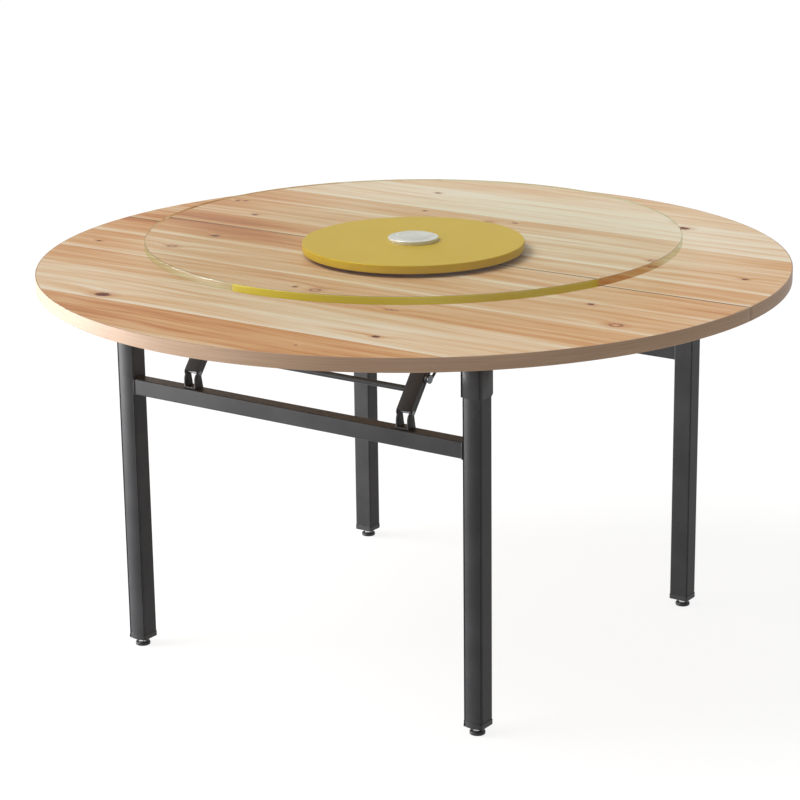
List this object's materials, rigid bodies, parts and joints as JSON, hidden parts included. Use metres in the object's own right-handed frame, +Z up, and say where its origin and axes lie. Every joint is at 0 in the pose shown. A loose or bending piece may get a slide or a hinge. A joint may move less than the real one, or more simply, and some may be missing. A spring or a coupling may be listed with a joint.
{
  "type": "round dining table",
  "caption": "Round wooden dining table on two folding black steel leg frames, with a clear glass turntable on a gold disc.",
  "frame": {"origin": "on the floor under the middle of the round top", "axes": "+Z up from the floor, X along the seam of the top and the crossbars, -Y towards the front leg frame"},
  "size_m": [1.4, 1.3996, 0.78],
  "materials": {
    "fir_laminate": "clear satin lacquer over solid planks",
    "edge_band": "satin wood-tone edge band",
    "black_steel": "black powder coat, fine texture",
    "black_plastic": "moulded, fine matte",
    "bright_steel": "bright zinc plate",
    "zinc_steel": "zinc plate",
    "gold_lacquer": "satin gold lacquer",
    "brushed_hub": "turned and brushed",
    "clear_glass": "clear toughened plate, polished edge",
    "rubber": "moulded",
    "clear_pad": "clear soft silicone, smooth"
  },
  "bodies": {
    "root": {"brace_brackets": "black_steel", "bracket_pins": "zinc_steel", "cross_rail_front": "black_steel", "cross_rail_rear": "black_steel", "edge_band_front": "edge_band", "edge_band_rear": "edge_band", "fixing_screws": "zinc_steel", "hinge_bolts": "zinc_steel", "housing_front_left": "black_steel", "housing_front_right": "black_steel", "housing_rear_left": "black_steel", "housing_rear_right": "black_steel", "seam_plates": "black_steel", "side_rail_left": "black_steel", "side_rail_right": "black_steel", "top_board_front": "fir_laminate", "top_board_rear": "fir_laminate", "turntable_balls": "zinc_steel", "turntable_base": "zinc_steel", "turntable_feet": "rubber", "turntable_lower_race": "zinc_steel"},
    "front_frame": {"front_brace_lugs": "black_steel", "front_crossbar": "black_steel", "front_hinge_blocks": "black_steel", "front_leg_caps": "black_plastic", "front_leg_left": "black_steel", "front_leg_right": "black_steel", "front_lug_pins": "zinc_steel"},
    "front_lower_arms": {"front_knee_pins": "zinc_steel", "front_lower_arm_left": "black_steel", "front_lower_arm_right": "black_steel", "front_pull_rod": "black_steel"},
    "front_left_upper_arm": {"front_upper_arm_left": "black_steel"},
    "front_right_upper_arm": {"front_upper_arm_right": "black_steel"},
    "front_left_glide": {"glide_pad_front_left": "black_plastic", "glide_screw_front_left": "bright_steel"},
    "front_right_glide": {"glide_pad_front_right": "black_plastic", "glide_screw_front_right": "bright_steel"},
    "rear_left_glide": {"glide_pad_rear_left": "black_plastic", "glide_screw_rear_left": "bright_steel"},
    "rear_right_glide": {"glide_pad_rear_right": "black_plastic", "glide_screw_rear_right": "bright_steel"},
    "rear_frame": {"rear_brace_lugs": "black_steel", "rear_crossbar": "black_steel", "rear_hinge_blocks": "black_steel", "rear_leg_caps": "black_plastic", "rear_leg_left": "black_steel", "rear_leg_right": "black_steel", "rear_lug_pins": "zinc_steel"},
    "rear_lower_arms": {"rear_knee_pins": "zinc_steel", "rear_lower_arm_left": "black_steel", "rear_lower_arm_right": "black_steel", "rear_pull_rod": "black_steel"},
    "rear_left_upper_arm": {"rear_upper_arm_left": "black_steel"},
    "rear_right_upper_arm": {"rear_upper_arm_right": "black_steel"},
    "turntable": {"turntable_disc": "gold_lacquer", "turntable_glass": "clear_glass", "turntable_glass_pad": "clear_pad", "turntable_hub": "brushed_hub", "turntable_upper_race": "zinc_steel"}
  },
  "joints": [
    {"name": "turntable_spin", "type": "hinge", "parent": "root", "child": "turntable", "pos_m": [0, 0, 0.7375], "axis": [0, 0, 1], "continuous": true},
    {"name": "front_frame_fold", "type": "hinge", "parent": "root", "child": "front_frame", "pos_m": [0, -0.372, 0.681], "axis": [1, 0, 0], "range_deg": [0, 90]},
    {"name": "front_lower_arms_turn", "type": "hinge", "parent": "front_frame", "child": "front_lower_arms", "pos_m": [0, -0.369, 0.562], "axis": [1, 0, 0], "range_deg": [0, 44.3]},
    {"name": "front_left_upper_arm_turn", "type": "hinge", "parent": "root", "child": "front_left_upper_arm", "pos_m": [-0.2555, -0.24, 0.686], "axis": [-1, 0, 0], "range_deg": [0, 34.4]},
    {"name": "front_left_glide_screw", "type": "slide", "parent": "front_frame", "child": "front_left_glide", "axis": [0, 0, -1], "range_m": [0, 0.01]},
    {"name": "front_right_upper_arm_turn", "type": "hinge", "parent": "root", "child": "front_right_upper_arm", "pos_m": [0.2555, -0.24, 0.686], "axis": [-1, 0, 0], "range_deg": [0, 34.4]},
    {"name": "front_right_glide_screw", "type": "slide", "parent": "front_frame", "child": "front_right_glide", "axis": [0, 0, -1], "range_m": [0, 0.01]},
    {"name": "rear_frame_fold", "type": "hinge", "parent": "root", "child": "rear_frame", "pos_m": [0, 0.372, 0.64], "axis": [-1, 0, 0], "range_deg": [0, 90]},
    {"name": "rear_lower_arms_turn", "type": "hinge", "parent": "rear_frame", "child": "rear_lower_arms", "pos_m": [0, 0.369, 0.562], "axis": [-1, 0, 0], "range_deg": [0, 9.9]},
    {"name": "rear_left_upper_arm_turn", "type": "hinge", "parent": "root", "child": "rear_left_upper_arm", "pos_m": [-0.2555, 0.24, 0.686], "axis": [1, 0, 0], "range_deg": [0, 34.6]},
    {"name": "rear_left_glide_screw", "type": "slide", "parent": "rear_frame", "child": "rear_left_glide", "axis": [0, 0, -1], "range_m": [0, 0.01]},
    {"name": "rear_right_upper_arm_turn", "type": "hinge", "parent": "root", "child": "rear_right_upper_arm", "pos_m": [0.2555, 0.24, 0.686], "axis": [1, 0, 0], "range_deg": [0, 34.6]},
    {"name": "rear_right_glide_screw", "type": "slide", "parent": "rear_frame", "child": "rear_right_glide", "axis": [0, 0, -1], "range_m": [0, 0.01]}
  ],
  "couplings": [
    {"joint": "front_lower_arms_turn", "follows": "front_frame_fold", "ratio": 0.49222},
    {"joint": "front_left_upper_arm_turn", "follows": "front_frame_fold", "ratio": 0.38222},
    {"joint": "front_right_upper_arm_turn", "follows": "front_frame_fold", "ratio": 0.38222},
    {"joint": "rear_lower_arms_turn", "follows": "rear_frame_fold", "ratio": 0.11},
    {"joint": "rear_left_upper_arm_turn", "follows": "rear_frame_fold", "ratio": 0.38444},
    {"joint": "rear_right_upper_arm_turn", "follows": "rear_frame_fold", "ratio": 0.38444}
  ]
}
